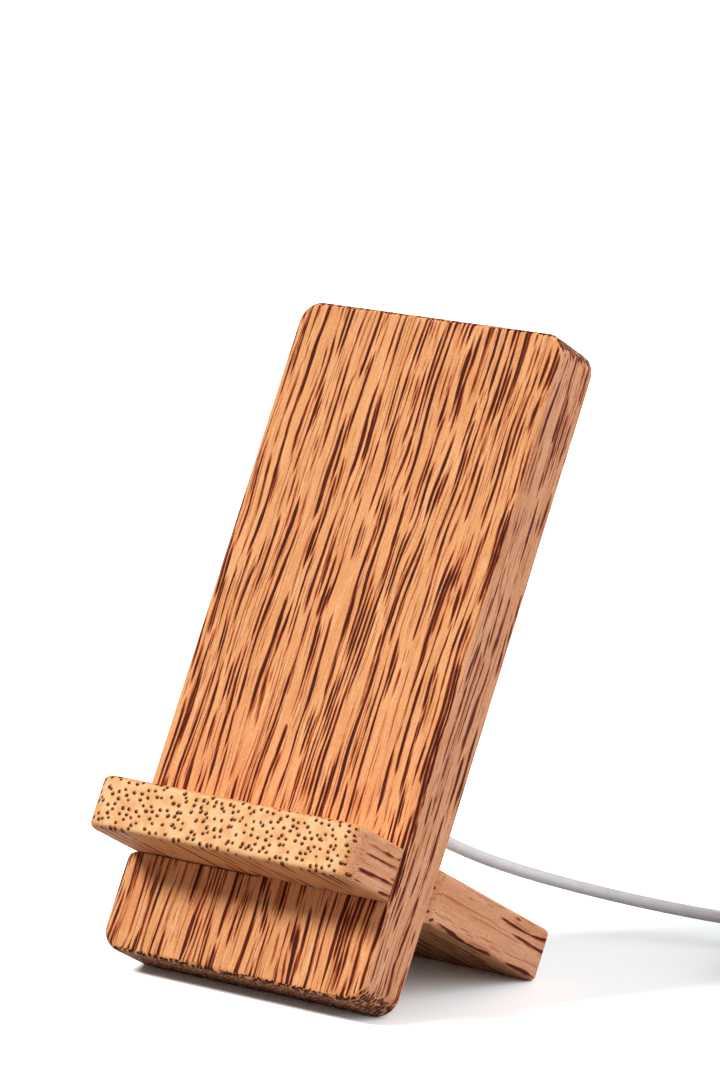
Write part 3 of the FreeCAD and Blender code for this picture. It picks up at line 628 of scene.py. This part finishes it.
def loft(name, rings, slot, materials, sharp_from):
    """A closed, smooth piece of the standing object through rings of as many points each, capped at
    both ends, with its edges sharp from that angle on."""
    made = bmesh.new()
    rows = [[made.verts.new(point) for point in ring] for ring in rings]
    for low, high in zip(rows, rows[1:]):
        for k in range(len(low)):
            made.faces.new((low[k - 1], low[k], high[k], high[k - 1]))
    made.faces.new(rows[0][::-1])
    made.faces.new(rows[-1])
    bmesh.ops.recalc_face_normals(made, faces=made.faces)
    mesh = bpy.data.meshes.new(name)
    made.to_mesh(mesh)
    made.free()
    mesh.materials.append(materials[slot])
    for polygon in mesh.polygons:
        polygon.use_smooth = True
    mesh.set_sharp_from_angle(angle=math.radians(sharp_from))
    piece = bpy.data.objects.new(name, mesh)
    scene.collection.objects.link(piece)
    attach(piece, "stand")
    return piece


def strain_relief(name, start, axis, length, radii, ribs, materials):
    """A tapering strain relief from inside the plug's body, of ribs with grooves between."""
    other = axis.cross(RIGHT)
    thick, thin = radii
    sections = [(-RELIEF_ROOTED, thick)]
    for k in range(ribs * RELIEF_STEPS_PER_RIB + 1):
        share = k / (ribs * RELIEF_STEPS_PER_RIB)
        swell = abs(math.sin(math.pi * share * ribs)) ** RELIEF_RIB_ROUNDNESS
        groove = RELIEF_GROOVE * (1 - swell)
        sections.append((share * length, thick + (thin - thick) * share - groove))
    turns = [math.tau * k / RELIEF_SIDES for k in range(RELIEF_SIDES)]
    spokes = [RIGHT * math.cos(turn) + other * math.sin(turn) for turn in turns]
    rings = [[start + (axis * along + spoke * radius) * MM for spoke in spokes]
             for along, radius in sections]
    return loft(name, rings, "cable_white", materials, RELIEF_SHARP_FROM)


def plug_body(name, start, axis, up, size, corner, materials):
    """A plug's moulded body: a collar and a groove in front, a slight waist, a rounded end."""
    width, thickness, length = size
    collar_end = PLUG_COLLAR[-1][0]
    waist_length = length - PLUG_BESIDE_WAIST
    sections = list(PLUG_COLLAR)
    for k in range(1, PLUG_WAIST_STEPS):
        share = k / PLUG_WAIST_STEPS
        sections.append((collar_end + share * waist_length,
                         PLUG_WAIST * math.sin(math.pi * share) ** 2))
    for k in range(PLUG_ROUNDING_STEPS):
        turn = math.pi / 2 * k / PLUG_ROUNDING_STEPS
        sections.append((length - PLUG_ROUNDING * (1 - math.sin(turn)),
                         PLUG_ROUNDING * (1 - math.cos(turn))))
    rings = []
    for along, inset in sections:
        radius = max(corner - inset, PLUG_LEAST_CORNER)
        half_x, half_z = width / 2 - inset - radius, thickness / 2 - inset - radius
        ring = []
        for side_x, side_z, first in ((1, 1, 0), (-1, 1, 90), (-1, -1, 180), (1, -1, 270)):
            for k in range(PLUG_CORNER_STEPS + 1):
                turn = math.radians(first + 90 * k / PLUG_CORNER_STEPS)
                ring.append(start + (axis * along
                                     + RIGHT * (side_x * half_x + radius * math.cos(turn))
                                     + up * (side_z * half_z + radius * math.sin(turn))) * MM)
        rings.append(ring)
    return loft(name, rings, "cable_white", materials, PLUG_SHARP_FROM)


def make_plug(name, front, axis, up, plug, materials, body_node, relief_node):
    """A plug's body and strain relief, from the body's front towards the cable."""
    size, corner, (length, radii, ribs) = plug
    body = plug_body(name + "_grip", front, axis, up, size, corner, materials)
    relief = strain_relief(name + "_boot", front + axis * size[2] * MM, axis, length, radii, ribs,
                           materials)
    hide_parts(body_node)
    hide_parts(relief_node)
    return [body, relief]


def strap_line():
    """The strap's middle line round its loop, lapping over its start, with half its width there."""
    line = []
    for k in range(STRAP_STEPS + 1):
        gone = STRAP_SWEEP * k / STRAP_STEPS
        angle = math.radians(STRAP_START - gone)
        shape = (abs(math.cos(angle) / STRAP_REACH[0]) ** STRAP_SQUARENESS
                 + abs(math.sin(angle) / STRAP_REACH[1]) ** STRAP_SQUARENESS)
        lap = min(max((gone - STRAP_LAPS_FROM) / STRAP_LAPS_WITHIN, 0), 1)
        lifted = (STRAP_THICKNESS + STRAP_LAP_GAP) * lap * lap * (3 - 2 * lap)
        reach = shape ** (-1 / STRAP_SQUARENESS) + lifted
        left = min((STRAP_SWEEP - gone) / STRAP_ROUNDED_TIP, 1)
        half = STRAP_WIDTH / 2 * math.sqrt(max(1 - (1 - left) ** 2, STRAP_TIP_LEAST))
        line.append((Vector((reach * math.cos(angle), reach * math.sin(angle))), half))
    return line


def make_strap(materials):
    """The strap round the coil's turns: one band with rounded edges."""
    turn = math.radians(TIE_TURN)
    out = Vector((math.cos(turn), math.sin(turn), 0))
    sideways = Vector((-math.sin(turn), math.cos(turn), 0))
    centre = Vector((*COIL_CENTRE, 0)) + out * STRAP_MIDDLE[0] + UPWARD * STRAP_MIDDLE[1]
    line = strap_line()
    edge = STRAP_THICKNESS / 2
    rings = []
    for k, (point, half) in enumerate(line):
        ahead = (line[min(k + 1, STRAP_STEPS)][0] - line[max(k - 1, 0)][0]).normalized()
        outward = Vector((-ahead.y, ahead.x))
        ring = []
        for side in (1, -1):
            for step in range(STRAP_EDGE_STEPS + 1):
                bend = math.pi / 2 - math.pi * step / STRAP_EDGE_STEPS
                wide = side * (half - edge + edge * math.cos(bend))
                place = point + outward * (side * edge * math.sin(bend))
                ring.append((centre + out * place.x + UPWARD * place.y + sideways * wide) * MM)
        rings.append(ring)
    strap = loft("coil_strap", rings, "tie_grey", materials, STRAP_SHARP_FROM)
    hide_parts("cable_tie")
    return strap


def make_floor():
    """A plain white floor that keeps the stand's shadow."""
    made = bmesh.new()
    bmesh.ops.create_grid(made, x_segments=1, y_segments=1, size=FLOOR_SIZE / 2)
    mesh = bpy.data.meshes.new("floor")
    made.to_mesh(mesh)
    made.free()
    floor = bpy.data.objects.new("floor", mesh)
    scene.collection.objects.link(floor)
    shader = Shader("floor_white", roughness=0.9)
    path = shader.add("LightPath").outputs
    seen = path["Is Camera Ray"]
    for ray in ("Is Glossy Ray", "Is Transmission Ray"):
        seen = shader.math("MAXIMUM", seen, path[ray])
    shader.put_surface({"Base Color": shader.mix(seen, FLOOR_COLOUR, FLOOR_SEEN)})
    added = shader.add("BsdfDiffuse", {"Color": shader.mix(seen, FLOOR_ADDED_UNSEEN, FLOOR_ADDED)})
    both = shader.add("AddShader", {0: shader.surface.outputs[0], 1: added.outputs[0]})
    shader.put(shader.output.inputs["Surface"], both.outputs[0])
    mesh.materials.append(shader.material)


make_world()
make_camera()
make_lamps()
materials = make_materials()
dress_nodes(materials)
cable = make_cable(materials)
stand_plug_length = (STAND_PLUG[0][2] + STAND_PLUG[2][0]) * MM
stand_plug = make_plug("stand_plug", CABLE_EXIT - BACK * stand_plug_length, BACK, UP_BOARD,
                       STAND_PLUG, materials, "device_plug_body", "device_plug_relief")
charger_plug = make_plug("charger_plug", CHARGER_PLUG_FRONT, REARWARD, UPWARD,
                         CHARGER_PLUG, materials, "charger_plug_body", "charger_plug_relief")
strap = make_strap(materials)
make_floor()
scene.view_settings.view_transform = "Standard"
